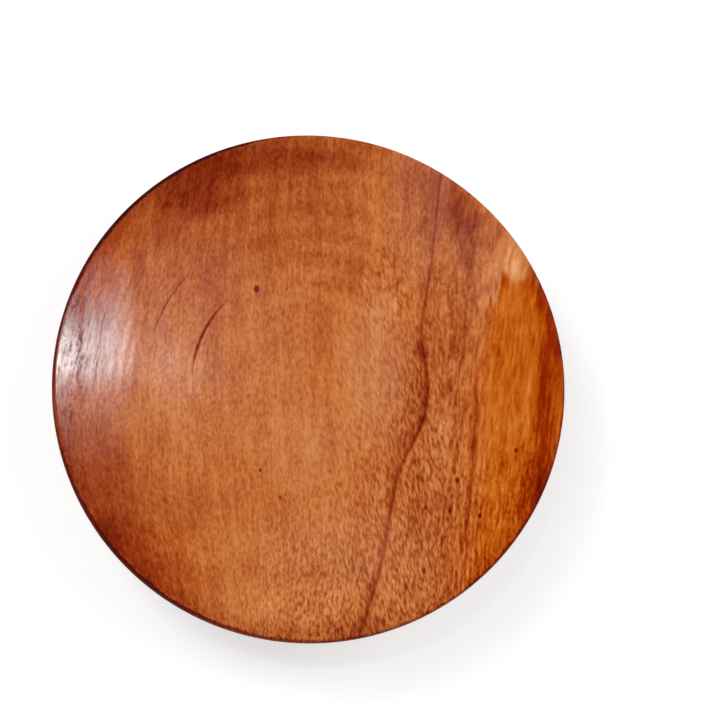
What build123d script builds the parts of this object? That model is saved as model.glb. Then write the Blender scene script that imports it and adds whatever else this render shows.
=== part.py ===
"""Chakla rolling board: a round board turned from one plank, standing on three turned legs.

Each leg has a round spigot that seats in a blind socket under the board, and a countersunk
wood screw, sunk in the leg's foot, that runs up through the leg into the board.
Millimetres, +Z up. The origin is on the floor under the board's centre. The grain of the
plank runs along Y, and the back is +Y.
"""

import os
from math import cos, radians, sin, tan

from build123d import *

# Board
board_diameter = 229.0
board_thickness = 19.0
top_edge_radius = 1.8
top_edge_turn = 75.0  # degrees that the top edge turns through before the rim takes over
rim_nose_radius = 14.0
under_edge_turn = 66.0  # degrees that the under edge turns through to meet the underside

# Leg, from the floor up
foot_radius = 11.5
foot_edge_radius = 1.5
ball_radius = 17.0
ball_height = 17.4
ring_lip = 2.0  # how far the ring stands out from the neck
ring_height = 1.6
neck_radius = 9.6
cove_radius = 3.8  # quarter round from the neck out to the collar
collar_lip = 1.1  # flat of the collar outside the cove
collar_height = 3.2
collar_edge_radius = 0.8
spigot_radius = 7.0
spigot_length = 6.0
spigot_chamfer = 0.6

# Where the legs stand
leg_inset = 39.5  # from the rim in to the middle of a leg
leg_names = ("back", "front_left", "front_right")
first_leg_angle = 90.0  # degrees from +X, counter-clockwise from above

# Wood screw, head down
screw_length = 32.0
screw_bite = 13.0  # how far the screw runs up into the board
screw_head_radius = 4.15
screw_head_angle = 82.0
screw_shank_radius = 2.1
screw_shank_length = 15.0  # from the head's face to where the thread starts
screw_core_radius = 1.55
screw_point_length = 4.0
screw_point_radius = 0.3
screw_slot_width = 1.1
screw_slot_depth = 1.2
screw_slot_angles = (24.0, 71.0, 138.0)  # one for each leg, as a hand leaves them

# Holes and fits
well_clearance = 1.05  # round the screw's head, in the foot
spigot_clearance = 0.1
socket_end_gap = 0.5
shank_clearance = 0.2
core_clearance = 0.05
pilot_end_gap = 1.0
cut_overrun = 1.0

# Worked out from the sizes above
ring_floor = ball_height
ring_top = ring_floor + ring_height
collar_floor = ring_top + cove_radius
leg_height = collar_floor + collar_height
spigot_top = leg_height + spigot_length
ball_middle = ball_height / 2
ring_radius = neck_radius + ring_lip
collar_radius = neck_radius + cove_radius + collar_lip
board_radius = board_diameter / 2
board_top = leg_height + board_thickness
leg_circle_radius = board_radius - leg_inset
leg_count = len(leg_names)
socket_radius = spigot_radius + spigot_clearance
socket_depth = spigot_length + socket_end_gap
screw_hole_radius = screw_shank_radius + shank_clearance
pilot_radius = screw_core_radius + core_clearance
pilot_depth = screw_bite + pilot_end_gap
screw_well_radius = screw_head_radius + well_clearance
screw_tip = leg_height + screw_bite
screw_well_depth = screw_tip - screw_length

os.makedirs("parts", exist_ok=True)


def export(part, name):
    """Labels a finished piece and writes it to its own STEP file."""
    part.label = name
    export_step(part, f"parts/{name}.step")


# Rolling board: the rim is three tangent arcs, a crisp top edge, a slightly swollen nose
# and a wide roll under that lets fingers in to lift the board
edge_fall = top_edge_radius * (1 - cos(radians(top_edge_turn)))
nose_fall = rim_nose_radius * (cos(radians(top_edge_turn)) + cos(radians(under_edge_turn)))
under_edge_radius = (board_thickness - edge_fall - nose_fall) / (1 - cos(radians(under_edge_turn)))
edge_reach = top_edge_radius * sin(radians(top_edge_turn))
nose_reach = rim_nose_radius * (1 - sin(radians(top_edge_turn)))
flat_top_radius = board_radius - edge_reach - nose_reach
nose_turn = 180 - top_edge_turn - under_edge_turn

with BuildPart() as rolling_board:
    with BuildSketch(Plane.XZ):
        with BuildLine():
            flat_top = Line((0, board_top), (flat_top_radius, board_top))
            top_edge = JernArc(flat_top @ 1, (1, 0), top_edge_radius, -top_edge_turn)
            nose = JernArc(top_edge @ 1, top_edge % 1, rim_nose_radius, -nose_turn)
            under_edge = JernArc(nose @ 1, nose % 1, under_edge_radius, -under_edge_turn)
            underside_line = Line(under_edge @ 1, (0, leg_height))
            Line(underside_line @ 1, flat_top @ 0)
        make_face()
    revolve(axis=Axis.Z)
    underside = Plane(origin=(0, 0, leg_height), x_dir=(1, 0, 0), z_dir=(0, 0, -1))
    with Locations(underside):
        with PolarLocations(leg_circle_radius, leg_count, -first_leg_angle):
            CounterBoreHole(pilot_radius, socket_radius, socket_depth, pilot_depth)
export(rolling_board.part, "rolling_board")


def leg_foot(index):
    """The point on the floor under the middle of a leg."""
    angle = radians(first_leg_angle + 360 * index / leg_count)
    return (leg_circle_radius * cos(angle), leg_circle_radius * sin(angle), 0)


def upright_plane(foot):
    """The plane of a leg's half profile: its X is the radius and its Y is the height."""
    return Plane(origin=foot, x_dir=(1, 0, 0), z_dir=(0, -1, 0))


# Legs: bun foot, ring, cove and collar turned in one piece with the spigot
for index, leg_name in enumerate(leg_names):
    foot = leg_foot(index)
    with BuildPart() as leg:
        with BuildSketch(upright_plane(foot)):
            with BuildLine():
                floor_line = Line((0, 0), (foot_radius, 0))
                ball = ThreePointArc(
                    floor_line @ 1,
                    (ball_radius, ball_middle),
                    (ring_radius, ring_floor),
                )
                ring = Line(ball @ 1, (ring_radius, ring_top))
                ring_shelf = Line(ring @ 1, (neck_radius, ring_top))
                cove = JernArc(ring_shelf @ 1, (0, 1), cove_radius, -90)
                collar_shelf = Line(cove @ 1, (collar_radius, collar_floor))
                collar = Line(collar_shelf @ 1, (collar_radius, leg_height))
                shoulder = Line(collar @ 1, (spigot_radius, leg_height))
                spigot = Line(shoulder @ 1, (spigot_radius, spigot_top))
                spigot_end = Line(spigot @ 1, (0, spigot_top))
                Line(spigot_end @ 1, floor_line @ 0)
            make_face()
        revolve(axis=Axis(foot, (0, 0, 1)))
        rings = leg.edges().filter_by(GeomType.CIRCLE)
        fillet(rings.group_by(Axis.Z)[0].sort_by(SortBy.RADIUS)[-1], foot_edge_radius)
        collar_rings = leg.edges().filter_by(GeomType.CIRCLE).filter_by(
            lambda edge: abs(edge.radius - collar_radius) < collar_edge_radius
        )
        fillet(collar_rings, collar_edge_radius)
        spigot_ring = leg.edges().filter_by(GeomType.CIRCLE).group_by(Axis.Z)[-1]
        chamfer(spigot_ring, spigot_chamfer)
        well_mouth = Plane(origin=foot, x_dir=(1, 0, 0), z_dir=(0, 0, -1))
        with Locations(well_mouth):
            Hole(screw_well_radius, screw_well_depth)
        with Locations(well_mouth.offset(-screw_well_depth)):
            CounterSinkHole(
                screw_hole_radius,
                screw_head_radius,
                spigot_top,
                screw_head_angle,
            )
    export(leg.part, f"{leg_name}_leg")


# Screws: slotted countersunk head flush with the floor of the well, plain shank, core and point
head_cone_height = (screw_head_radius - screw_shank_radius) / tan(radians(screw_head_angle / 2))

for index, leg_name in enumerate(leg_names):
    foot = leg_foot(index)
    head_face = screw_well_depth
    with BuildPart() as screw:
        with BuildSketch(upright_plane(foot)):
            with BuildLine():
                face_line = Line((0, head_face), (screw_head_radius, head_face))
                cone = Line(face_line @ 1, (screw_shank_radius, head_face + head_cone_height))
                shank = Line(cone @ 1, (screw_shank_radius, head_face + screw_shank_length))
                step = Line(shank @ 1, (screw_core_radius, head_face + screw_shank_length))
                core = Line(step @ 1, (screw_core_radius, screw_tip - screw_point_length))
                point = Line(core @ 1, (screw_point_radius, screw_tip))
                point_end = Line(point @ 1, (0, screw_tip))
                Line(point_end @ 1, face_line @ 0)
            make_face()
        revolve(axis=Axis(foot, (0, 0, 1)))
        slot_plane = Plane(
            origin=(foot[0], foot[1], head_face),
            x_dir=Vector(1, 0, 0).rotate(Axis.Z, screw_slot_angles[index]),
            z_dir=(0, 0, 1),
        )
        with BuildSketch(slot_plane):
            Rectangle(2 * (screw_head_radius + cut_overrun), screw_slot_width)
        extrude(amount=screw_slot_depth, mode=Mode.SUBTRACT)
    export(screw.part, f"{leg_name}_leg_screw")

print(f"flat top radius {flat_top_radius:.2f}, under edge radius {under_edge_radius:.2f}")
print(f"leg height {leg_height:.2f}, screw point to board top {board_top - screw_tip:.2f}")
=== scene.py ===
"""Chakla rolling board, dressed for the render.

A round board turned from one plank stands on three turned legs, each held by a wood screw. The
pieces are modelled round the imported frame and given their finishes, on a pale floor in soft
studio light. Metres, +Z up; the grain of the board runs along Y and the back is +Y.
"""

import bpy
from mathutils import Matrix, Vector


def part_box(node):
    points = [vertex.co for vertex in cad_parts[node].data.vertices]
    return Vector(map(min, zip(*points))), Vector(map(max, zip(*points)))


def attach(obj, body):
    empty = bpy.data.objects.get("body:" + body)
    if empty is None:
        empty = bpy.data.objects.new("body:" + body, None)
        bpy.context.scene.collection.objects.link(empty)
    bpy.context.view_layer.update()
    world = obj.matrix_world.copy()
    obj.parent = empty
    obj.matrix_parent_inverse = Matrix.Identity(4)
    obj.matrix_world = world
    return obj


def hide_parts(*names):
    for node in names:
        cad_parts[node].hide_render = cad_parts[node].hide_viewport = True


bl_info = {
    "name": "Chakla rolling board",
    "version": (1, 0, 0),
    "blender": (4, 5, 0),
    "location": "3D View > Sidebar > Rolling Board",
    "description": "Models a turned wooden rolling board on three legs, with its stage",
    "category": "Object",
}

from math import atan2, cos, hypot, pi, radians, sin, tan

import bpy
from bpy.props import FloatProperty, FloatVectorProperty, IntProperty, PointerProperty
from bpy.types import Operator, Panel, PropertyGroup
from mathutils import Matrix, Vector

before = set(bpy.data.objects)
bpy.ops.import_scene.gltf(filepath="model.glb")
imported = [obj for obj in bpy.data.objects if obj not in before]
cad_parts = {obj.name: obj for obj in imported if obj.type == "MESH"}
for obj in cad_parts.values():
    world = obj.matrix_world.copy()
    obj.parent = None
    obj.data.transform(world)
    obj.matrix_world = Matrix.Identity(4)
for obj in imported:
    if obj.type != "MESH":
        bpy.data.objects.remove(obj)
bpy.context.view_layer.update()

mm = 0.001
leg_names = ("back_leg", "front_left_leg", "front_right_leg")
board_low, board_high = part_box("rolling_board")
leg_low, leg_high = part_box(leg_names[0])


# Settings

def length(name, description, millimetres):
    """A length that a user can change, given in millimetres."""
    return FloatProperty(
        name=name, description=description, default=millimetres * mm, precision=5, unit="LENGTH"
    )


def angle(name, description, degrees):
    """An angle that a user can change, given in degrees."""
    return FloatProperty(
        name=name, description=description, default=radians(degrees), subtype="ANGLE"
    )


def share(name, description, value):
    """A plain number that a user can change."""
    return FloatProperty(name=name, description=description, default=value, min=0.0)


def seen(red, green, blue):
    """A colour as it looks on a screen, 0 to 255, as the linear colour that shaders take."""
    return tuple(
        c / 12.92 if c <= 0.04045 else ((c + 0.055) / 1.055) ** 2.4
        for c in (red / 255, green / 255, blue / 255)
    )


def tint(name, description, *colour):
    """A colour that a user can change, given as it looks on a screen."""
    return FloatVectorProperty(
        name=name, description=description, default=seen(*colour), subtype="COLOR", min=0.0, max=1.0
    )


class BoardSizes(PropertyGroup):
    """Sizes of the rolling board."""

    top_edge_radius: length("Top edge radius", "Rounding where the top meets the rim", 1.8)
    top_edge_turn: angle("Top edge turn", "How far the top edge turns before the rim", 75)
    nose_radius: length("Nose radius", "Swell of the rim", 14.0)
    under_edge_turn: angle("Under edge turn", "How far the rim rolls under", 66)
    ripple_pitch: length("Ripple pitch", "Distance between the turning tool's faint rings", 4.4)
    ripple_depth: length("Ripple depth", "Depth of the faint rings on top", 0.004)
    under_pitch: length("Under ripple pitch", "Distance between the rings underneath", 6.0)
    under_depth: length("Under ripple depth", "Depth of the rings underneath", 0.03)
    socket_radius: length("Socket radius", "Blind hole for a leg's spigot", 7.1)
    socket_depth: length("Socket depth", "Depth of the blind hole", 6.5)
    pilot_radius: length("Pilot radius", "Hole that the screw bites into", 2.0)
    pilot_depth: length("Pilot depth", "Depth of the screw's hole from the underside", 14.0)
    steps: IntProperty(name="Steps", description="Faces round the board", default=240, min=24)


class LegSizes(PropertyGroup):
    """Sizes of a turned leg, from the floor up."""

    foot_radius: length("Foot radius", "Flat ring that stands on the floor", 11.5)
    foot_edge: length("Foot edge", "Rounding round the foot", 1.5)
    ball_radius: length("Ball radius", "Widest part of the leg", 17.0)
    ball_height: length("Ball height", "From the floor to the ring", 17.4)
    ring_lip: length("Ring lip", "How far the ring stands out from the neck", 2.0)
    ring_height: length("Ring height", "Thickness of the ring", 1.6)
    neck_radius: length("Neck radius", "Narrowest part of the leg", 9.6)
    cove_radius: length("Cove radius", "Quarter round from the neck out to the collar", 3.8)
    collar_lip: length("Collar lip", "Flat of the collar outside the cove", 1.1)
    collar_edge: length("Collar edge", "Rounding of the collar", 0.8)
    spigot_radius: length("Spigot radius", "Peg that seats in the board", 7.0)
    spigot_chamfer: length("Spigot chamfer", "Bevel on the peg's end", 0.6)
    well_radius: length("Well radius", "Hole in the foot over the screw's head", 5.2)
    well_depth: length("Well depth", "How deep the screw's head is sunk", 7.0)
    screw_hole_radius: length("Screw hole radius", "Clearance hole for the screw", 2.3)
    steps: IntProperty(name="Steps", description="Faces round a leg", default=96, min=24)


class ScrewSizes(PropertyGroup):
    """Sizes of a slotted wood screw."""

    length: length("Length", "From the head's face to the point", 32.0)
    head_radius: length("Head radius", "Countersunk head", 4.15)
    head_angle: angle("Head angle", "Included angle under the head", 82)
    shank_radius: length("Shank radius", "Plain part under the head", 2.1)
    shank_length: length("Shank length", "From the head's face to the thread", 15.0)
    core_radius: length("Core radius", "Body between the threads", 1.4)
    crest_radius: length("Crest radius", "Outside of the thread", 1.95)
    pitch: length("Pitch", "Distance from thread to thread", 1.8)
    point_length: length("Point length", "Tapered end", 4.0)
    slot_width: length("Slot width", "Slot for the screwdriver", 1.1)
    slot_depth: length("Slot depth", "Depth of the slot", 1.2)
    slot_turns: FloatVectorProperty(
        name="Slot turns", description="Where a hand left the slots, leg by leg",
        default=(radians(24), radians(71), radians(138)), subtype="EULER",
    )
    steps: IntProperty(name="Steps", description="Faces round a screw", default=40, min=12)


class WoodColours(PropertyGroup):
    """Colours of the stained and varnished wood."""

    # Near black of the rim: partly gathered stain, partly painted shade
    char: tint("Char", "Stain gathered on the rim", 50, 10, 4)
    pore: tint("Pore", "Deepest red brown, in pores and veins", 98, 22, 5)
    deep: tint("Deep", "Dark late wood", 128, 42, 15)
    brown: tint("Brown", "Brown between the streaks", 160, 72, 31)
    body: tint("Body", "Usual colour of the board", 185, 100, 48)
    warm: tint("Warm", "Lighter streaks", 201, 120, 63)
    fleck: tint("Fleck", "Pale flecks", 219, 146, 88)
    glint: tint("Glint", "Palest fibres", 238, 181, 130)
    # A grey cast painted over the wood: partly bloom of the drier wood, partly painted sheen
    ash: tint("Ash", "Grey bloom of the drier wood", 206, 176, 166)
    red_dark: tint("Red dark", "Dark streaks of the orange side", 104, 16, 0)
    red_orange: tint("Red orange", "Stain gathered on the orange side", 150, 45, 3)
    orange: tint("Orange", "Usual colour of the orange side", 189, 90, 16)
    amber: tint("Amber", "Light streaks of the orange side", 207, 115, 37)
    straw: tint("Straw", "Palest fibres of the orange side", 232, 160, 84)


class StageSizes(PropertyGroup):
    """Camera, lamps and floor."""

    camera_place: FloatVectorProperty(
        name="Camera place", description="Where the camera stands",
        default=(-0.0406, -0.133, 0.9232), subtype="TRANSLATION", unit="LENGTH",
    )
    camera_aim: FloatVectorProperty(
        name="Camera aim", description="What the middle of the picture shows",
        default=(0.0219, 0.0107, 0.045), subtype="TRANSLATION", unit="LENGTH",
    )
    lens: share("Lens", "Focal length in millimetres on a 36 mm sensor", 100.0)
    floor_width: length("Floor width", "Width of the floor", 6000.0)
    floor_colour: tint("Floor", "Colour of the floor", 198, 198, 198)
    sky: share("Sky", "Soft light from all round", 0.475)


class RollingBoardSettings(PropertyGroup):
    """All the settings of the rolling board."""

    board: PointerProperty(type=BoardSizes)
    leg: PointerProperty(type=LegSizes)
    screw: PointerProperty(type=ScrewSizes)
    wood: PointerProperty(type=WoodColours)
    stage: PointerProperty(type=StageSizes)


def settings():
    """The settings kept with the scene."""
    return bpy.context.scene.rolling_board


# Finishes: a wire is a socket, and sums and products of wires add Math nodes

class Wire:
    """One output socket of a finish."""

    def __init__(self, finish, socket):
        self.finish = finish
        self.socket = socket

    def maths(self, operation, *values):
        """Adds a Math node to the finish."""
        return self.finish.node("ShaderNodeMath", {"operation": operation}, dict(enumerate(values)))

    def __add__(self, other):
        return self.maths("ADD", self, other)

    def __radd__(self, other):
        return self.maths("ADD", other, self)

    def __sub__(self, other):
        return self.maths("SUBTRACT", self, other)

    def __rsub__(self, other):
        return self.maths("SUBTRACT", other, self)

    def __mul__(self, other):
        return self.maths("MULTIPLY", self, other)

    def __truediv__(self, other):
        return self.maths("DIVIDE", self, other)

    def __pow__(self, power):
        return self.maths("POWER", self, power)

    def __abs__(self):
        return self.maths("ABSOLUTE", self)

    def most(self, other):
        """The larger of two values."""
        return self.maths("MAXIMUM", self, other)

    def least(self, other):
        """The smaller of two values."""
        return self.maths("MINIMUM", self, other)


class Finish:
    """A material, or the sky, and its nodes."""

    def __init__(self, name, holder=None):
        self.material = holder or bpy.data.materials.new(name)
        self.material.use_nodes = True
        self.tree = self.material.node_tree
        self.tree.nodes.clear()

    def node(self, kind, choices=None, values=None, output=0):
        """Adds a node, makes its choices first, then sets or links its sockets."""
        made = self.tree.nodes.new(kind)
        for choice, value in (choices or {}).items():
            if choice == "stops":
                fill_ramp(made.color_ramp, value)
            elif choice == "points":
                fill_curve(made.mapping, value)
            else:
                setattr(made, choice, value)
        for name, value in (values or {}).items():
            if isinstance(value, Wire):
                self.tree.links.new(value.socket, made.inputs[name])
            else:
                made.inputs[name].default_value = value
        return Wire(self, made.outputs[output]) if made.outputs else None

    def millimetres(self):
        """The surface's own place, across, along and up, in millimetres."""
        place = self.node("ShaderNodeTexCoord", output="Object")
        place = self.node(
            "ShaderNodeVectorMath", {"operation": "SCALE"}, {0: place, "Scale": 1 / mm}
        )
        split = self.node("ShaderNodeSeparateXYZ", None, {0: place})
        return tuple(Wire(self, socket) for socket in split.socket.node.outputs)

    def at(self, across, along, up):
        """A place from its three parts."""
        return self.node("ShaderNodeCombineXYZ", None, {0: across, 1: along, 2: up})

    def scaled(self, place, size, seed):
        """A place divided by the size of a lump, and moved to its own part of the pattern."""
        return self.node(
            "ShaderNodeVectorMath",
            {"operation": "MULTIPLY_ADD"},
            {0: place, 1: tuple(1 / s for s in size), 2: (seed * 3.7, seed * 5.3, seed * 1.9)},
        )

    def noise(self, place, size, seed, detail=1.0):
        """Soft lumps of that size in millimetres, from about -0.5 to 0.5."""
        found = self.node(
            "ShaderNodeTexNoise",
            {"noise_dimensions": "3D"},
            {"Vector": self.scaled(place, size, seed), "Scale": 1.0, "Detail": detail,
             "Roughness": 0.5},
        )
        return found - 0.5

    def dashes(self, place, size, seed, fullness, rarity):
        """Short dashes, one to a cell of that size, and some of the cells left empty."""
        cell = self.node(
            "ShaderNodeTexVoronoi",
            {"voronoi_dimensions": "3D", "feature": "F1"},
            {"Vector": self.scaled(place, size, seed), "Scale": 1.0},
            "Distance",
        )
        chance = Wire(self, cell.socket.node.outputs["Color"])
        chance = self.node("ShaderNodeSeparateColor", None, {0: chance})
        return self.ease(cell, fullness, 0.3 * fullness) * self.ease(chance, rarity, 1.0)

    def ease(self, value, start, end):
        """0 before start, 1 after end, and smooth between."""
        return self.node(
            "ShaderNodeMapRange",
            {"interpolation_type": "SMOOTHSTEP"},
            {"Value": value, "From Min": start, "From Max": end},
        )

    def patch(self, across, along, middle, reach):
        """1 in the middle of a soft oval and 0 outside it."""
        sideways = (across - middle[0]) / reach[0]
        lengthways = (along - middle[1]) / reach[1]
        return self.ease(sideways * sideways + lengthways * lengthways, 1.0, 0.0)

    def line(self, distance, width):
        """1 on a line and 0 from that width on."""
        return self.ease(abs(distance), width, 0.0)

    def curve(self, value, points, reach):
        """Reads a value off a smooth curve through points, where all run to half the reach."""
        placed = [(a / reach[0] + 0.5, b / reach[1] + 0.5) for a, b in points]
        curve = self.node(
            "ShaderNodeFloatCurve", {"points": placed}, {"Value": value / reach[0] + 0.5}
        )
        return (curve - 0.5) * reach[1]

    def drawn(self, along, points):
        """How far across a line lies that was drawn through places along and across."""
        return self.curve(along, points, line_span)

    def ramp(self, value, stops):
        """A colour picked by a value from 0 to 1."""
        return self.node("ShaderNodeValToRGB", {"stops": stops}, {0: value}, "Color")

    def blend(self, part, first, second):
        """The second colour over the first, by a share."""
        return self.node(
            "ShaderNodeMix", {"data_type": "RGBA"}, {0: part, 6: first, 7: second}, 2
        )

    def bump(self, height, depth):
        """A normal for relief of that depth in metres."""
        return self.node(
            "ShaderNodeBump", None, {"Height": height, "Distance": depth, "Strength": 1.0},
            "Normal",
        )

    def looked_at(self):
        """1 for what the camera sees, straight, in a reflection or through glass."""
        kinds = self.node("ShaderNodeLightPath").socket.node.outputs
        straight, mirrored, through = (
            Wire(self, kinds[f"Is {kind} Ray"]) for kind in ("Camera", "Glossy", "Transmission")
        )
        return straight.most(mirrored).most(through)

    def surface(self, **values):
        """Ends the finish in the standard shader and returns the material."""
        named = {name.replace("_", " "): value for name, value in values.items()}
        shader = self.node("ShaderNodeBsdfPrincipled", None, named)
        return self.close(shader)

    def close(self, shader):
        """Links a shader to the material's output."""
        self.node("ShaderNodeOutputMaterial", None, {"Surface": shader})
        return self.material


def fill_curve(mapping, points):
    """Gives a curve node its points."""
    curve = mapping.curves[0]
    while len(curve.points) < len(points):
        curve.points.new(0.5, 0.5)
    for point, place in zip(curve.points, points):
        point.location = place
    mapping.update()


def fill_ramp(ramp, stops):
    """Gives a colour ramp its stops."""
    while len(ramp.elements) < len(stops):
        ramp.elements.new(0.5)
    for element, (place, colour) in zip(ramp.elements, stops):
        element.position = place
        element.color = (*colour, 1.0)


# Where the board is lighter or darker, in millimetres from its centre: across, along, reach
# across, reach along, and by how much
tone_patches = (
    (-45, 88, 22, 19, -0.18), (-38, 98, 18, 10, -0.12), (-15, 101, 50, 9, -0.18),
    (6, 89, 22, 30, -0.06), (-30, 62, 34, 44, -0.09), (-66, 58, 20, 34, -0.08),
    (52, 88, 20, 34, -0.07), (-88, 60, 16, 40, -0.10), (-108, 16, 28, 28, -0.40),
    (-104, 44, 10, 14, -0.16), (-96, -14, 16, 14, -0.08), (-70, 22, 8, 26, -0.06),
    (-56, 86, 20, 16, -0.20), (-40, 86, 6, 20, 0.05), (-5, 108, 56, 7, -0.12),
    (-18, 99, 18, 9, -0.06), (-4, 84, 24, 14, -0.06), (-64, -56, 20, 18, -0.06),
    (38, -38, 8, 24, -0.05), (7, -88, 12, 10, -0.04), (-88, 18, 18, 36, -0.06),
    (34, 36, 12, 24, 0.04), (-40, -62, 14, 12, -0.04), (-1, -53, 12, 8, -0.04),
    (-23, 92, 8, 12, -0.05), (-49, 79, 10, 8, 0.06), (81, -29, 7, 9, 0.07), (60, -4, 5, 10, -0.05),
    (52, -20, 4, 10, -0.05), (78, 52, 12, 26, -0.03), (76, 78, 7, 9, -0.12),
    (90, 40, 12, 10, 0.03), (67, 64, 5, 12, 0.04), (92, 52, 5, 13, 0.07), (57, -18, 5, 12, -0.05),
    (-84, 40, 5, 44, 0.06), (17, -16, 12, 16, -0.07), (-12, -22, 14, 14, 0.05),
    (62, 22, 16, 18, -0.06), (70, 46, 8, 18, -0.06), (69, 12, 8, 16, -0.07),
    (76, -6, 5, 10, -0.09), (88, 14, 6, 10, 0.05), (35, 35, 9, 9, 0.08), (-66, 72, 16, 20, -0.08),
    (76, 66, 12, 18, -0.12), (57, 44, 14, 14, -0.09), (90, 38, 14, 10, 0.10),
    (60, -27, 16, 24, 0.12), (0, -98, 30, 14, 0.12), (-21, 38, 14, 24, 0.08),
    (88, -14, 12, 20, 0.05), (-110, -24, 10, 28, -0.20), (60, 82, 12, 20, -0.10),
    (18, 60, 20, 24, -0.06), (38, 98, 18, 12, -0.05), (-93, -52, 22, 40, -0.24),
    (-82, -80, 26, 26, -0.20), (-61, -94, 26, 20, -0.10), (-59, -13, 22, 46, 0.04),
    (-30, -84, 30, 34, 0.10), (-4, -24, 42, 42, 0.09), (24, 8, 18, 40, 0.08),
    (14, -66, 26, 38, 0.07), (70, 72, 9, 24, -0.16), (54, -50, 14, 40, -0.05),
    (82, 54, 7, 30, -0.03), (-72.3, 62, 2.6, 24, 0.08), (-59, -33, 5.5, 34, 0.06),
    (81, -12, 8, 44, 0.05), (98, 2, 6, 58, 0.09), (100, -50, 9, 22, -0.16),
    (18, -108, 24, 9, -0.05), (49.3, 15.6, 4.0, 6.0, -0.18), (83, 16, 2.6, 4.0, -0.16),
    (74, -30, 8, 30, 0.05), (84, -58, 14, 22, 0.05),
)
# Specks in the wood: across, along, reach across and reach along. The first is the darkest
specks = (
    (-24.5, 42.3, 1.6, 2.1), (65.0, -42.7, 1.3, 1.8), (61.8, -56.5, 1.1, 1.5),
    (75.1, -58.6, 1.1, 1.5), (91.5, -29.1, 1.1, 1.4), (50.7, -55.2, 1.1, 1.4),
    (-22.2, -39.0, 0.8, 1.2), (-13.4, -51.0, 0.8, 1.1),
)
# Lines of the figure, each drawn through places along and across
growth_line = (
    (-115, 21), (-103, 24.3), (-80, 31.2), (-56, 35.4), (-39, 39.2), (-27, 45), (-15, 50.3),
    (-3, 51.9), (10, 51.2), (22, 49.6), (40, 51.8), (60, 54.7), (84, 57.3), (115, 61),
)
orange_border = (
    (-115, 60), (-82, 65.6), (-60, 69.3), (-25, 72.8), (2, 74.4), (39, 76.5), (115, 88),
)
# Where the wood is painted greyer, partly the drier wood's bloom and partly painted sheen, with the
# same four places and by how much
grey_bloom_and_sheen_patches = (
    (50, 80, 24, 44, 1.0), (30, 8, 18, 44, 1.0), (14, -74, 46, 24, 0.6), (-5, -26, 26, 26, 0.5),
    (-84, 22, 8, 36, 1.5),
)
# Arcs scribed in the top: radius in millimetres, and where the middle lies, in radians from +X
long_scribe = (52.7, 2.72)
thin_scribe = (73.3, 2.62)
# How dark the rim is painted, by the angle in degrees from +X: partly gathered stain, partly painted
# shade of the rim's edge and side
rim_stain_and_shade = (
    (-180, 0.6), (-165, 0.8), (-150, 1.1), (-135, 1.2), (-118, 1.1), (-90, 0.6), (-60, 0.5),
    (-45, 0.8), (-30, 0.8), (-15, 0.5), (0, 0.4), (15, 0.5), (24, 0.5), (31, 0.1), (45, 0.1),
    (65, 0.15), (85, 0.3), (98, 0.8), (112, 1.4), (130, 1.7), (150, 1.4), (165, 0.9), (180, 0.6),
)
# How bright the window is up and across its card, in millimetres from the card's middle
window_up = (
    (-320, 0.0), (-170, 0.0), (-136, 0.05), (-116, 0.07), (-97, 0.10), (-77, 0.17), (-58, 0.25),
    (-42, 0.48), (-33, 0.70), (-22, 1.0), (0, 0.98), (21, 0.80), (41, 0.56), (60, 0.38), (80, 0.22),
    (101, 0.16), (120, 0.11), (139, 0.03), (165, 0.0), (320, 0.0),
)
window_across = (
    (-320, 1.8), (-66, 1.8), (-50, 1.18), (-34, 1.14), (-20, 1.10), (-6, 1.01), (7, 1.03),
    (21, 0.72), (35, 0.22), (49, 0.10), (64, 0.10), (77, 0.12), (92, 0.09), (120, 0.04),
    (158, 0.0), (320, 0.0),
)
# The spans of the curves through these points, in and out, from end to end
line_span = (240.0, 240.0)
rim_span = (364.0, 4.0)
window_span = (640.0, 4.0)


def stained(finish, tone, colours):
    """The stained wood's colour, from the darkest pores to the palest fibres."""
    return finish.ramp(tone, (
        (0.0, colours.pore), (0.214, colours.deep), (0.443, colours.brown), (0.614, colours.body),
        (0.729, colours.warm), (0.857, colours.fleck), (1.0, colours.glint),
    ))


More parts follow.
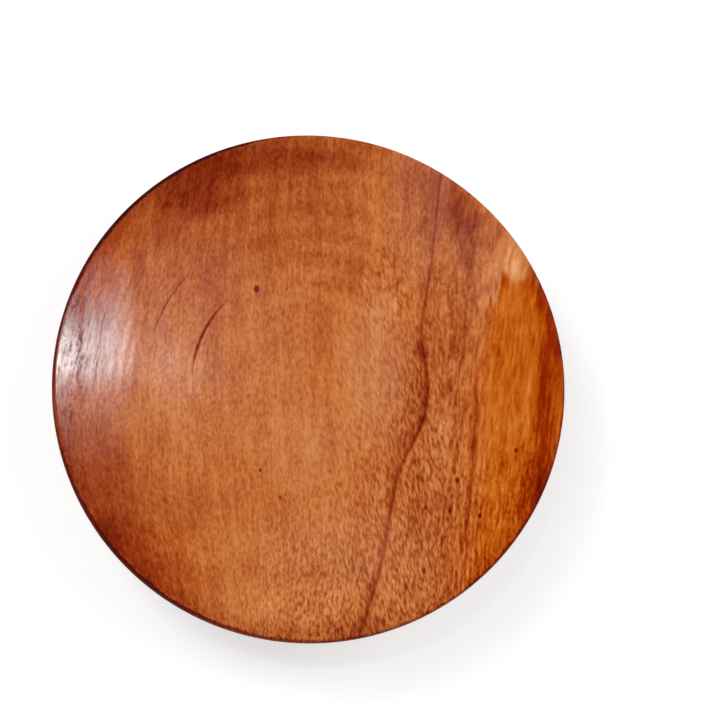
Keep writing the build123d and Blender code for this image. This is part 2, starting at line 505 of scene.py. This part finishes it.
def board_finish(colours):
    """Varnished wood of the board: flat-sawn figure along Y, placed as on the real board."""
    finish = Finish("board_wood")
    ease, line, noise, patch = finish.ease, finish.line, finish.noise, finish.patch
    x, y, z = finish.millimetres()
    radius = (x * x + y * y) ** 0.5
    turn = x.maths("ARCTAN2", y, x)

    # The figure slants down through the plank, wanders, and bows at the left and right
    x = x + (z - board_high.z / mm) * 0.35
    spot = finish.at(x, y, z)
    wander = noise(spot, (45, 95, 60), 1) * 9.0
    sway = noise(spot, (11, 24, 14), 2) * 3.0
    jitter = noise(spot, (5.0, 11.0, 6.0), 10) * 1.2
    bow = y * y * 0.0016 * ease(x, -5.0, -65.0) + x * y * 0.0012 * ease(x, 0.0, 40.0)
    grain = x - bow + wander + sway
    place = finish.at(grain, y, z)
    wavy = finish.at(grain + jitter, y, z)

    # Streaks of several widths, and short dashes that lean over right of the middle
    broad = noise(place, (9.0, 110.0, 12.0), 3, 2.0)
    middling = noise(place, (3.0, 34.0, 4.0), 4, 2.0)
    fibres = noise(wavy, (1.5, 9.0, 2.0), 5)
    upright = noise(wavy, (1.15, 2.7, 1.3), 6)
    slanted = noise(finish.at(grain + jitter + y * 0.26, y, z), (1.25, 3.7, 1.3), 6)
    leaning = ease(patch(x, y, (33, -24), (40, 120)) + broad * 0.6, 0.35, 0.6)
    short = ease(upright + (slanted - upright) * leaning, -0.18, 0.12) - 0.6
    cloud = noise(spot, (13.0, 18.0, 15.0), 7, 2.0)
    speckle = noise(spot, (1.2, 1.5, 1.2), 9, 1.0)
    pores = finish.dashes(wavy, (1.7, 3.8, 1.7), 8, 0.55, 0.35)

    # Faint rings of the turning tool, where the dashes gather in rows
    dark_ring, ring_pitch = 57.0, 11.4
    wave = (radius + cloud * 1.5 - dark_ring) * (2 * pi / ring_pitch)
    rings = wave.maths("COSINE", wave)
    rings = rings * ease(y, -30.0, 50.0) * ease(radius, 18.0, 36.0)
    rings = rings * ease(x, 50.0, 20.0) * (0.35 + ease(turn, 2.5, 1.9) * 0.65)

    # The dashes are strongest towards the front right, and the orange side is silky
    coarse = ease(x - y * 0.5 + wander, 0.0, 80.0) * 0.8 + ease(x, 28.0, 50.0) * 0.25
    coarse = coarse * (1.0 - ease(x, 60.0, 80.0) * 0.25)
    coarse = coarse + patch(x, y, (32, 42), (14, 26)) * 0.5
    coarse = coarse + ease(y, -55.0, -85.0) * 0.2
    calm = ease(x + middling * 20.0, 52.0, 86.0) * ease(y + broad * 40.0, -56.0, -10.0)
    calm = calm * (1.0 - patch(x, y, (76, 50), (16, 36)) * 0.7)
    shake = (sway * 0.25 + jitter * 0.6) * (1.0 - ease(y, 0.0, 30.0) * 0.6)
    growth = x + shake - finish.drawn(y, growth_line)
    near = line(growth, 4.0)
    strength = (0.55 + coarse) * (1.0 - calm * 0.7) * (1.0 - near * 0.4)
    longer = ease(x, 50.0, 66.0)
    tone = (
        0.610 + broad * 0.26 + middling * (0.26 + calm * 0.20) + fibres * (0.12 + calm * 0.30)
        + cloud * 0.24 + speckle * (0.20 - calm * 0.10)
        + (fibres * (0.28 + longer * 0.26) + short * (0.22 - longer * 0.08)
           - pores * 0.11 * (1.0 + rings * 1.4)) * strength
    )
    for across, along, wide, long, lift in tone_patches:
        tone = tone + patch(x + wander * 0.5, y, (across, along), (wide, long)) * lift

    # One dark growth line, with dark wood in its bulge, and two veins of the orange side
    chord = x + sway * 0.4 + jitter - (43.4 + y * 0.165)
    fading = ease(noise(spot, (60.0, 16.0, 40.0), 17), -0.25, 0.15)
    bulge = ease(abs(y + 4.0), 36.0, 16.0)
    lens = ease(chord, -4.0, 3.5) * ease(growth, 1.2, -1.0) * bulge
    shoulder = ease(growth, -6.0, 0.0) * ease(growth, 1.4, 0.0)
    core = line(growth * (1.0 + ease(y, 14.0, 50.0) * 0.7), 1.6)
    tone = tone - core * (0.15 + fading * 0.10)
    tone = tone - shoulder * (0.05 + ease(y, 0.0, -20.0) * 0.05) - lens * 0.12
    border = x + sway * 0.4 + jitter - finish.drawn(y, orange_border)
    vein = line(border, 2.1) * ease(y + cloud * 30.0, 26.0, -6.0)
    vein = vein * ease(y, -84.0, -66.0)
    side_vein = line(border + 5.2 - (y + 15.0) * 0.12, 1.8)
    side_vein = side_vein * ease(abs(y + 28.0), 17.0, 9.0)
    tone = tone - vein * 0.26 - side_vein * 0.20

    # Orange stain beyond the border, as far back as a ragged edge under a pale spot, a golden
    # streak, russet by the left rim, and a dark band by the right rim
    ragged = y - 48.0 - ((x - 87.0) * 2.4).least(0.0)
    ragged = ragged + middling * (12.0 + ease(x, 91.0, 83.0) * 40.0)
    orange = ease(border + middling * 12.0, -15.0, 0.0) * 0.5
    orange = orange + ease(border, -2.0, 10.0) * 0.5
    orange = orange * ease(ragged, 4.0, -4.0) * ease(y, -108.0, -84.0)
    gold = ease(grain, 20.0, 24.0) * ease(grain, 60.0, 38.0)
    gold = gold * ease(y, -10.0, 40.0)
    russet = patch(x, y, (-66, -84), (34, 34)).most(patch(x, y, (-92, 56), (22, 44)))
    # The pale spot: lighter wood with a painted highlight in it
    pale = patch(x, y, (79.5, 48.0), (5.0, 18.0)) * 0.6
    pale = patch(x, y, (89.5, 55.0), (9.5, 18.0)).most(pale)
    pale = pale * ease(ragged, -3.0, 2.0)
    band = line(x - 104.6 - y * 0.03 + sway * 0.2, 7.0) * ease(y, 24.0, 8.0)
    rim_band = ease(radius - (turn - 0.36).most(0.0) * 22.0, 107.5, 111.0)
    rim_band = rim_band * ease(turn, 0.53, 0.47) * ease(turn, -0.1, 0.12) * 0.8
    tone = tone + gold * 0.05 + pale * 0.31 - band.most(rim_band) * 0.28

    # Dark scribed arcs with tapering ends, a fainter one at the right, and specks
    long_radius, long_middle = long_scribe
    thin_radius, thin_middle = thin_scribe
    taper = ease(abs(turn - 2.76), 0.34, 0.05)
    long_arc = line(radius - long_radius, 0.6 + taper * 0.6)
    long_arc = long_arc * ease(abs(turn - long_middle), 0.40, 0.16)
    thin_arc = line(radius - thin_radius, 0.7)
    thin_arc = thin_arc * ease(abs(turn - thin_middle), 0.28, 0.12) * 0.6
    side_arc = line(radius - long_radius, 1.0)
    side_arc = side_arc * ease(abs(turn + 0.24), 0.36, 0.1) * 0.4
    top = ease(z, 41.0, 44.0)
    scribed = long_arc.most(thin_arc).most(side_arc) * top
    dots = patch(x, y, specks[0][:2], specks[0][2:]) * 1.6
    for speck in specks[1:]:
        dots = dots.most(patch(x, y, speck[:2], speck[2:]))
    tone = tone - ease(tone, 0.66, 1.0) * 0.10
    tone = tone - rings * 0.026 - scribed * 0.42 - dots * top * 0.46

    # The rim is painted darker, unevenly, partly gathered stain and partly painted shade of the edge
    # and side, blackest in a broken line round the top's edge
    shade = finish.curve(turn * (180 / pi), rim_stain_and_shade, rim_span)
    edge = radius + cloud * 2.0 + speckle * 1.6
    limit = 113.5 - shade * 0.9
    rim = ease(edge, 103.0, 112.0)
    side = ease(edge, limit, limit + 1.4)
    crease = line(edge - limit - 0.7, 0.9)
    tone = tone - rim * shade * 0.10 - side * (0.06 + shade * 0.21) - crease * shade * 0.22

    plain = stained(finish, tone, colours)
    fiery = finish.ramp(tone, (
        (0.0, colours.red_dark), (0.386, colours.red_orange), (0.664, colours.orange),
        (0.793, colours.amber), (1.0, colours.straw),
    ))
    colour = finish.blend((orange + gold * 0.1 + russet * 0.4 + pale * 0.8).least(1.0), plain, fiery)
    # A grey cast, partly the drier wood's bloom and partly painted sheen, over the pale spot and
    # beside the window's highlight
    bloom = patch(x, y, (78, 56), (20, 34)) * (1.0 - orange) * 0.7 + pale * 1.3
    for across, along, wide, long, much in grey_bloom_and_sheen_patches:
        bloom = bloom + patch(x, y, (across, along), (wide, long)) * much
    colour = finish.blend((bloom * (0.07 + middling * 0.1)).most(0.0), colour, (*colours.ash, 1.0))
    # Near black painted over the rim: gathered stain and painted shade
    black_stain_and_shade = side * ease(shade, 1.1, 1.5) * 0.75
    black_stain_and_shade = black_stain_and_shade + crease * ease(shade + speckle * 2.4 + cloud, 0.6, 1.3) * 0.7
    colour = finish.blend(black_stain_and_shade, colour, (*colours.char, 1.0))

    # The varnish is thin over the fibres, so its gloss breaks into streaks; the rim is dull
    relief = middling * 0.35 + fibres * 0.6 + short * 0.12 - pores * 0.3 - scribed * 1.2
    brushed = noise(finish.at(grain - y * 0.2, y, z), (1.1, 8.0, 2.0), 18, 2.0)
    streaks = (
        brushed * (0.8 + ease(x, -88.0, -94.0) * 0.8)
        + noise(place, (3.0, 40.0, 4.0), 19) * 0.5
        + speckle * ease(x, -98.0, -104.0) * 1.2 + short * 0.20 + fibres * 0.3
    )
    gap = line(x + 102.0 - (y - 18.0) * 0.03, 1.7)
    gap = gap * ease(abs(y - 18.0), 34.0, 20.0)
    varnish = ((0.76 + streaks - gap * 0.4).most(0.05).least(1.0)) * (1.0 - scribed)
    normal = finish.bump(relief, 0.05 * mm)
    varnished = finish.node("ShaderNodeBsdfPrincipled", None, {
        "Base Color": colour, "Roughness": 0.5, "Specular IOR Level": 0.0, "Normal": normal,
        "Coat Weight": varnish, "Coat Roughness": 0.05,
    })
    dull = finish.node("ShaderNodeBsdfPrincipled", None, {
        "Base Color": colour, "Roughness": 0.6, "Specular IOR Level": 0.04, "Normal": normal,
    })
    still_glossy = patch(x, y, (-113, 14), (30, 40)) * 1.2
    worn = ease(radius + speckle - still_glossy, 111.3, 112.2)
    return finish.close(finish.node("ShaderNodeMixShader", None, {0: worn, 1: varnished, 2: dull}))


def leg_finish(colours):
    """Varnished wood of the legs: a stick with its grain upright."""
    finish = Finish("leg_wood")
    x, y, z = finish.millimetres()
    place = finish.at(x, y, z)
    sway = finish.noise(place, (14, 14, 40), 11, 1.0) * 5.0
    place = finish.at(x + sway, y + sway * 0.6, z)
    broad = finish.noise(place, (6.0, 6.0, 70.0), 12, 2.0)
    fibres = finish.noise(place, (0.8, 0.8, 11.0), 13, 2.0)
    short = finish.noise(place, (0.6, 0.6, 3.0), 14, 1.0)
    pores = finish.dashes(place, (1.2, 1.2, 5.0), 15, 0.6, 0.3)
    wave = (x * 0.8 + y * 0.6 + sway * 0.5) * 1.9
    rings = wave.maths("SINE", wave)
    tone = 0.52 + broad * 0.3 + fibres * 0.3 + short * 0.25 - pores * 0.2 + rings * 0.03
    tone = tone - finish.ease(z, 1.2, 0.0) * 0.1
    colour = stained(finish, tone, colours)
    relief = fibres * 0.5 + short * 0.5 - pores * 0.5
    return finish.surface(
        Base_Color=colour, Roughness=0.3 + pores * 0.2 + fibres * 0.2,
        Normal=finish.bump(relief, 0.05 * mm), Coat_Weight=0.25, Coat_Roughness=0.12,
    )


def steel_finish():
    """Zinc-plated steel of the screws, dulled and a little rusty."""
    finish = Finish("screw_steel")
    x, y, z = finish.millimetres()
    place = finish.at(x, y, z)
    cloud = finish.noise(place, (1.6, 1.6, 1.6), 21, 3.0)
    scuffs = finish.noise(place, (0.2, 1.4, 0.4), 22, 2.0)
    rust = finish.ease(cloud + scuffs * 0.5, 0.10, 0.28)
    zinc, brown = (*seen(190, 186, 174), 1.0), (*seen(112, 62, 34), 1.0)
    colour = finish.blend(rust, zinc, brown)
    return finish.surface(
        Base_Color=colour, Metallic=1.0 - rust * 0.8, Roughness=0.34 + cloud * 0.3 + rust * 0.3,
        Normal=finish.bump(scuffs + cloud, 0.03 * mm),
    )


def card_finish():
    """Dull black of the card over the camera."""
    finish = Finish("black_card")
    black = (0.004, 0.004, 0.004, 1.0)
    return finish.close(finish.node("ShaderNodeBsdfDiffuse", None, {"Color": black}))


def window_finish():
    """Light of a window, sharp at one side and soft elsewhere, with a haze round it."""
    finish = Finish("window_light")
    across, along = finish.millimetres()[:2]
    pane = finish.curve(along, window_up, window_span)
    pane = pane * finish.curve(across, window_across, window_span)
    pane = pane * (1.0 - finish.patch(across, along, (-53.0, 60.0), (30.0, 50.0)) * 0.5)
    haze = finish.patch(across, along, (120.0, 24.0), (177.0, 190.0))
    haze = haze + finish.patch(across, along, (104.0, -34.0), (64.0, 52.0)) * 1.6
    light = pane.most(0.0) * 15.6 + haze * 0.8
    return finish.close(finish.node(
        "ShaderNodeEmission", None, {"Color": finish.at(light, light, light), "Strength": 1.0}
    ))


def floor_finish(colour):
    """Pale floor that looks white, keeps the board's shadow and is clear from below."""
    finish = Finish("pale_floor")
    looked_at = finish.looked_at()
    across, along = finish.millimetres()[:2]
    away = (across * across + along * along) ** 0.5
    level = 0.56 + finish.ease(away, 300.0, 1400.0) * 0.3
    matt = finish.node("ShaderNodeBsdfDiffuse", None, {"Color": (*colour, 1.0)})
    glow = finish.node(
        "ShaderNodeEmission", None, {"Color": finish.at(level, level, level), "Strength": looked_at}
    )
    shown = finish.node("ShaderNodeAddShader", None, {0: matt, 1: glow})
    below = finish.node("ShaderNodeNewGeometry", output="Backfacing")
    clear = finish.node("ShaderNodeBsdfTransparent")
    return finish.close(finish.node("ShaderNodeMixShader", None, {0: below, 1: shown, 2: clear}))


# Modelling by hand

weld = 0.001 * mm
smooth_angle = radians(32)


def arc(points, heading, radius, turn, stops):
    """Adds a bend to an outline of radius and height; a positive turn bends to the left."""
    at_radius, at_height = points[-1]
    side = 1 if turn > 0 else -1
    for stop in range(1, stops + 1):
        now = heading + turn * stop / stops
        points.append((
            at_radius + side * radius * (sin(now) - sin(heading)),
            at_height - side * radius * (cos(now) - cos(heading)),
        ))
    return heading + turn


def deselect():
    """Leaves nothing selected."""
    bpy.ops.object.select_all(action="DESELECT")


def choose(piece):
    """Selects one piece alone for what is done next."""
    deselect()
    piece.select_set(True)
    bpy.context.view_layer.objects.active = piece


def pick(piece, wanted):
    """Selects the vertices that are wanted, ready for an edit."""
    choose(piece)
    bpy.ops.object.mode_set(mode="EDIT")
    bpy.ops.mesh.select_mode(type="VERT")
    bpy.ops.mesh.select_all(action="DESELECT")
    bpy.ops.object.mode_set(mode="OBJECT")
    for vertex in piece.data.vertices:
        vertex.select = wanted(vertex.co)
    bpy.ops.object.mode_set(mode="EDIT")


def drawn(name, points, middle):
    """Draws half an outline from one vertex, in the upright plane through a middle."""
    deselect()
    bpy.ops.mesh.primitive_plane_add(size=mm)
    piece = bpy.context.object
    piece.name = piece.data.name = name
    bpy.ops.object.mode_set(mode="EDIT")
    bpy.ops.mesh.merge(type="CENTER")
    bpy.ops.transform.translate(value=(middle[0] + points[0][0], middle[1], points[0][1]))
    for (from_radius, from_height), (radius, height) in zip(points, points[1:]):
        bpy.ops.mesh.extrude_region_move(
            TRANSFORM_OT_translate={"value": (radius - from_radius, 0, height - from_height)}
        )
    return piece


def turned(name, points, middle, steps):
    """Draws half an outline and spins it about the upright axis through its middle."""
    piece = drawn(name, points, middle)
    bpy.ops.mesh.select_all(action="SELECT")
    bpy.ops.mesh.spin(
        steps=steps, angle=2 * pi, center=(middle[0], middle[1], 0), axis=(0, 0, 1)
    )
    bpy.ops.mesh.select_all(action="SELECT")
    bpy.ops.mesh.remove_doubles(threshold=weld)
    bpy.ops.mesh.normals_make_consistent(inside=False)
    bpy.ops.object.mode_set(mode="OBJECT")
    return piece


def threaded(name, core, crest, pitch, low, high, steps):
    """A closed rod with a thread round it, upright at the origin."""
    start = low - pitch
    piece = drawn(name, [
        (core, start), (core, start + 0.2 * pitch), (crest, start + 0.45 * pitch),
        (crest, start + 0.55 * pitch), (core, start + 0.8 * pitch), (core, start + pitch),
    ], (0, 0))
    bpy.ops.object.mode_set(mode="OBJECT")
    bpy.ops.object.modifier_add(type="SCREW")
    modifier = piece.modifiers[-1]
    modifier.axis = "Z"
    modifier.angle = 2 * pi
    modifier.screw_offset = pitch
    modifier.iterations = round((high - low) / pitch) + 2
    modifier.steps = modifier.render_steps = steps
    bpy.ops.object.modifier_apply(modifier=modifier.name)
    bpy.ops.object.mode_set(mode="EDIT")
    bpy.ops.mesh.select_all(action="SELECT")
    bpy.ops.mesh.remove_doubles(threshold=weld)
    bpy.ops.mesh.bisect(plane_co=(0, 0, low), plane_no=(0, 0, 1), use_fill=True, clear_inner=True)
    bpy.ops.mesh.select_all(action="SELECT")
    bpy.ops.mesh.bisect(plane_co=(0, 0, high), plane_no=(0, 0, 1), use_fill=True, clear_outer=True)
    bpy.ops.mesh.select_all(action="SELECT")
    bpy.ops.mesh.normals_make_consistent(inside=False)
    bpy.ops.object.mode_set(mode="OBJECT")
    return piece


def combine(piece, other, operation="DIFFERENCE"):
    """Cuts, joins or trims one closed shape with another, which is then thrown away."""
    choose(piece)
    bpy.ops.object.modifier_add(type="BOOLEAN")
    modifier = piece.modifiers[-1]
    modifier.operation = operation
    modifier.solver = "EXACT"
    modifier.object = other
    bpy.ops.object.modifier_apply(modifier=modifier.name)
    bpy.data.objects.remove(other)


def dress(piece, material, node):
    """Smooths a finished piece, gives it its finish and lets it stand for its node."""
    choose(piece)
    bpy.ops.object.shade_smooth_by_angle(angle=smooth_angle)
    piece.data.materials.clear()
    piece.data.materials.append(material)
    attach(piece, "root")
    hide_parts(node)


def leg_middle(name):
    """The middle of a leg on the floor."""
    low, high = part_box(name)
    return (low + high) / 2


def board_outline(sizes):
    """The board from the middle of its top, over the rim, to the middle underneath."""
    top, underside = board_high.z, board_low.z
    board_radius = board_high.x
    edge, nose = sizes.top_edge_radius, sizes.nose_radius
    edge_turn, under_turn = sizes.top_edge_turn, sizes.under_edge_turn
    flat_radius = board_radius - edge * sin(edge_turn) - nose * (1 - sin(edge_turn))
    fall = edge * (1 - cos(edge_turn)) + nose * (cos(edge_turn) + cos(under_turn))
    under_radius = (top - underside - fall) / (1 - cos(under_turn))

    per_ring, per_under_ring = 6, 5
    stops = per_ring * round(flat_radius / sizes.ripple_pitch)
    points = []
    for stop in range(stops + 1):
        radius = flat_radius * stop / stops
        fade = min(1.0, (flat_radius - radius) / (2 * sizes.ripple_pitch))
        ripple = (1 - cos(2 * pi * radius / sizes.ripple_pitch)) / 2
        points.append((radius, top - sizes.ripple_depth * ripple * fade))
    heading = arc(points, 0.0, edge, -edge_turn, stops=7)
    heading = arc(points, heading, nose, -(pi - edge_turn - under_turn), stops=8)
    arc(points, heading, under_radius, -under_turn, stops=12)
    under_flat = points[-1][0]
    stops = per_under_ring * round(under_flat / sizes.under_pitch)
    for stop in range(stops - 1, -1, -1):
        radius = under_flat * stop / stops
        ripple = (1 - cos(2 * pi * radius / sizes.under_pitch)) / 2
        points.append((radius, underside + sizes.under_depth * ripple))
    return points


def scribe(piece, radius, middle, half_angle, depth):
    """Presses a groove into the top along an arc, deepest in the middle."""
    lowest, half_width = board_high.z - 0.5 * mm, 0.4 * mm
    presses = (1.0, 0.66, 0.33)
    for reach in presses:
        def in_arc(place, reach=reach):
            if place.z < lowest or abs(hypot(place.x, place.y) - radius) > half_width:
                return False
            away = (atan2(place.y, place.x) - middle + pi) % (2 * pi) - pi
            return abs(away) < half_angle * reach

        pick(piece, in_arc)
        bpy.ops.transform.translate(value=(0, 0, -depth / len(presses)))
        bpy.ops.object.mode_set(mode="OBJECT")


class RollingBoardOperator:
    """What the operators share."""

    bl_options = {"REGISTER", "UNDO"}


class MakeBoard(RollingBoardOperator, Operator):
    """Turn the board with its rim, tool rings, scribed arcs and sockets"""

    bl_idname = "rolling_board.make_board"
    bl_label = "Board"

    def execute(self, context):
        sizes = settings().board
        board = turned("turned_board", board_outline(sizes), (0, 0), sizes.steps)
        for (radius, middle), half_angle, depth in (
            (long_scribe, 0.32, 0.06), (thin_scribe, 0.26, 0.03)
        ):
            scribe(board, radius * mm, middle, half_angle, depth * mm)
        underside = board_low.z
        for name in leg_names:
            socket = turned("socket_cutter", [
                (0, underside - mm), (sizes.socket_radius, underside - mm),
                (sizes.socket_radius, underside + sizes.socket_depth),
                (sizes.pilot_radius, underside + sizes.socket_depth),
                (sizes.pilot_radius, underside + sizes.pilot_depth),
                (0, underside + sizes.pilot_depth),
            ], leg_middle(name), steps=64)
            combine(board, socket)
        dress(board, board_finish(settings().wood), "rolling_board")
        return {"FINISHED"}


def leg_outline(sizes):
    """A leg from the floor of its well, round the foot and up to the end of its spigot."""
    foot, ball, height = sizes.foot_radius, sizes.ball_radius, sizes.ball_height
    ring = sizes.neck_radius + sizes.ring_lip
    # The ball is the arc through the foot, the widest point and the ring
    ax, ay, bx, by, cx, cy = foot, 0.0, ball, height / 2, ring, height
    d = 2 * (ax * (by - cy) + bx * (cy - ay) + cx * (ay - by))
    a2, b2, c2 = ax * ax + ay * ay, bx * bx + by * by, cx * cx + cy * cy
    ux = (a2 * (by - cy) + b2 * (cy - ay) + c2 * (ay - by)) / d
    uy = (a2 * (cx - bx) + b2 * (ax - cx) + c2 * (bx - ax)) / d
    radius = hypot(ax - ux, ay - uy)
    last = atan2(cy - uy, cx - ux)
    bevel = 0.25 * mm
    points = [(sizes.well_radius, bevel), (sizes.well_radius + bevel, 0.0)]
    # The foot's edge rounds off the corner between the floor and the ball
    edge = sizes.foot_edge
    inner = radius - edge
    start = atan2(edge - uy, (inner * inner - (edge - uy) ** 2) ** 0.5)
    middle = ux + inner * cos(start)
    edge_stops, ball_stops = 5, 40
    for stop in range(edge_stops + 1):
        turn = -pi / 2 + (start + pi / 2) * stop / edge_stops
        points.append((middle + edge * cos(turn), edge + edge * sin(turn)))
    for stop in range(1, ball_stops + 1):
        turn = start + (last - start) * stop / ball_stops
        points.append((ux + radius * cos(turn), uy + radius * sin(turn)))
    ring_top = height + sizes.ring_height
    points += [(ring, ring_top - bevel), (ring - bevel, ring_top), (sizes.neck_radius, ring_top)]
    arc(points, pi / 2, sizes.cove_radius, -pi / 2, stops=12)
    collar = sizes.neck_radius + sizes.cove_radius + sizes.collar_lip
    edge = sizes.collar_edge
    points.append((collar - edge, points[-1][1]))
    arc(points, 0.0, edge, pi / 2, edge_stops)
    points.append((collar, board_low.z - edge))
    arc(points, pi / 2, edge, pi / 2, edge_stops)
    top, chamfer = leg_high.z, sizes.spigot_chamfer
    points += [
        (sizes.spigot_radius, board_low.z), (sizes.spigot_radius, top - chamfer),
        (sizes.spigot_radius - chamfer, top), (sizes.screw_hole_radius, top),
    ]
    screw = settings().screw
    cone = (screw.head_radius - sizes.screw_hole_radius) / tan(screw.head_angle / 2)
    points += [
        (sizes.screw_hole_radius, sizes.well_depth + cone), (screw.head_radius, sizes.well_depth),
        (sizes.well_radius, sizes.well_depth), points[0],
    ]
    return points


class MakeLegs(RollingBoardOperator, Operator):
    """Turn one leg and copy it to the other two places"""

    bl_idname = "rolling_board.make_legs"
    bl_label = "Legs"

    def execute(self, context):
        sizes = settings().leg
        finish = leg_finish(settings().wood)
        first = leg_middle(leg_names[0])
        pattern = turned("turned_" + leg_names[0], leg_outline(sizes), first, sizes.steps)
        for name in leg_names:
            leg = pattern
            if name != leg_names[0]:
                leg = copied(pattern, "turned_" + name, leg_middle(name) - first)
            dress(leg, finish, name)
        return {"FINISHED"}


class MakeScrews(RollingBoardOperator, Operator):
    """Model one slotted wood screw and set a copy in each leg"""

    bl_idname = "rolling_board.make_screws"
    bl_label = "Screws"

    def execute(self, context):
        sizes = settings().screw
        finish = steel_finish()
        face = settings().leg.well_depth
        tip, thread = face + sizes.length, face + sizes.shank_length
        head, shank, crest = sizes.head_radius, sizes.shank_radius, sizes.crest_radius
        # The head's rim, the step to the core, how far shapes overlap, and the blunt point
        edge, step, lap, blunt = 0.15 * mm, 0.5 * mm, mm, 0.3 * mm
        flare = tan(sizes.head_angle / 2)
        pattern = turned("screw_pattern", [
            (0, face), (head - 2 * edge, face), (head - edge * flare, face + edge),
            (shank, face + (head - shank) / flare), (shank, thread - step),
            (sizes.core_radius, thread), (0, thread),
        ], (0, 0), sizes.steps)
        rod = threaded(
            "screw_thread", sizes.core_radius, crest, sizes.pitch, thread - lap, tip, sizes.steps
        )
        combine(rod, turned("screw_envelope", [
            (0, thread - 2 * lap), (sizes.core_radius, thread - 2 * lap), (crest, thread + lap),
            (crest, tip - sizes.point_length), (blunt, tip), (0, tip),
        ], (0, 0), sizes.steps), "INTERSECT")
        combine(pattern, rod, "UNION")
        for name, slot_turn in zip(leg_names, sizes.slot_turns):
            screw = copied(pattern, name + "_wood_screw", leg_middle(name))
            deselect()
            bpy.ops.mesh.primitive_cube_add(
                size=1, location=(*leg_middle(name)[:2], face), rotation=(0, 0, slot_turn),
                scale=(3 * head, sizes.slot_width, 2 * sizes.slot_depth),
            )
            combine(screw, bpy.context.object)
            dress(screw, finish, name + "_screw")
        bpy.data.objects.remove(pattern)
        return {"FINISHED"}


def copied(piece, name, move):
    """A copy of a piece with a mesh of its own, moved inside that mesh."""
    choose(piece)
    bpy.ops.object.duplicate(linked=False)
    copy = bpy.context.object
    copy.name = copy.data.name = name
    pick(copy, lambda place: True)
    bpy.ops.transform.translate(value=(move[0], move[1], 0))
    bpy.ops.object.mode_set(mode="OBJECT")
    return copy


class MakeStage(RollingBoardOperator, Operator):
    """Set up the floor, the lamps, the sky and the camera"""

    bl_idname = "rolling_board.make_stage"
    bl_label = "Stage"

    def execute(self, context):
        sizes = settings().stage
        deselect()
        bpy.ops.mesh.primitive_plane_add(size=sizes.floor_width)
        floor = bpy.context.object
        floor.name = "floor"
        floor.data.materials.append(floor_finish(sizes.floor_colour))
        place_camera(Vector(sizes.camera_place), Vector(sizes.camera_aim), sizes.lens)
        lamp("soft_key", place=(-0.95, 0.75, 1.45), size=(0.9, 0.9), power=17.0)
        lamp("soft_side", place=(1.1, 0.3, 1.3), size=(0.7, 0.9), power=8.6)
        card("dark_card", place=(0.08, 0.28, 1.95), size=1.8, material=card_finish())
        card("window_card", place=(-0.197, 0.331, 1.94), size=0.76, material=window_finish())
        light_sky(sizes.sky)
        context.scene.view_settings.view_transform = "Standard"
        return {"FINISHED"}


def place_camera(place, aim, lens):
    """Stands the camera at the picture's viewpoint, with the back of the board at the top."""
    back = (place - aim).normalized()
    right = Vector((0, 1, 0)).cross(back).normalized()
    upward = back.cross(right)
    deselect()
    bpy.ops.object.camera_add()
    camera = bpy.context.object
    camera.name = "camera"
    facing = Matrix((right, upward, back)).transposed().to_4x4()
    camera.matrix_world = Matrix.Translation(place) @ facing
    camera.data.lens = lens
    camera.data.sensor_width = 36.0
    camera.data.clip_start = 10 * mm
    camera.data.clip_end = 50.0
    bpy.context.scene.camera = camera


def card(name, place, size, material):
    """A square over the board that the camera sees only mirrored in the varnish."""
    deselect()
    bpy.ops.mesh.primitive_plane_add(size=size, location=place, rotation=(0, 0, 0))
    made = bpy.context.object
    made.name = name
    made.data.materials.append(material)
    made.visible_camera = False


def lamp(name, place, size, power):
    """An area lamp that faces the middle of the board."""
    deselect()
    bpy.ops.object.light_add(type="AREA", location=place)
    made = bpy.context.object
    made.name = name
    made.data.shape = "RECTANGLE"
    made.data.size, made.data.size_y = size
    made.data.energy = power
    toward = Vector((0, 0, board_high.z)) - Vector(place)
    made.rotation_euler = toward.to_track_quat("-Z", "Y").to_euler()


def light_sky(strength):
    """A soft sky that looks white and lights the board gently."""
    world = bpy.data.worlds.new("sky")
    bpy.context.scene.world = world
    world.use_nodes = True
    world.node_tree.nodes.clear()
    finish = Finish("sky", world)
    light = finish.looked_at() * (1.0 - strength) + strength
    sky = finish.node("ShaderNodeBackground", None, {"Color": (1, 1, 1, 1), "Strength": light})
    finish.node("ShaderNodeOutputWorld", None, {"Surface": sky})


class ROLLINGBOARD_PT_sidebar(Panel):
    """Lists the pieces and the stage."""

    bl_label = "Rolling board"
    bl_space_type = "VIEW_3D"
    bl_region_type = "UI"
    bl_category = "Rolling Board"

    def draw(self, context):
        for operator in operators:
            self.layout.operator(operator.bl_idname)
        kept = context.scene.rolling_board
        for group in (kept.board, kept.leg, kept.screw, kept.wood, kept.stage):
            box = self.layout.box()
            for name in group.__annotations__:
                box.prop(group, name)


operators = (MakeStage, MakeBoard, MakeLegs, MakeScrews)
groups = (BoardSizes, LegSizes, ScrewSizes, WoodColours, StageSizes, RollingBoardSettings)


def register():
    """Registers the settings, the operators and the panel."""
    for kind in (*groups, *operators, ROLLINGBOARD_PT_sidebar):
        bpy.utils.register_class(kind)
    bpy.types.Scene.rolling_board = PointerProperty(type=RollingBoardSettings)


def unregister():
    """Takes back what register added."""
    del bpy.types.Scene.rolling_board
    for kind in reversed((*groups, *operators, ROLLINGBOARD_PT_sidebar)):
        bpy.utils.unregister_class(kind)


def main():
    """Makes the stage and every piece."""
    register()
    bpy.ops.rolling_board.make_stage()
    bpy.ops.rolling_board.make_board()
    bpy.ops.rolling_board.make_legs()
    bpy.ops.rolling_board.make_screws()


if __name__ == "__main__":
    main()
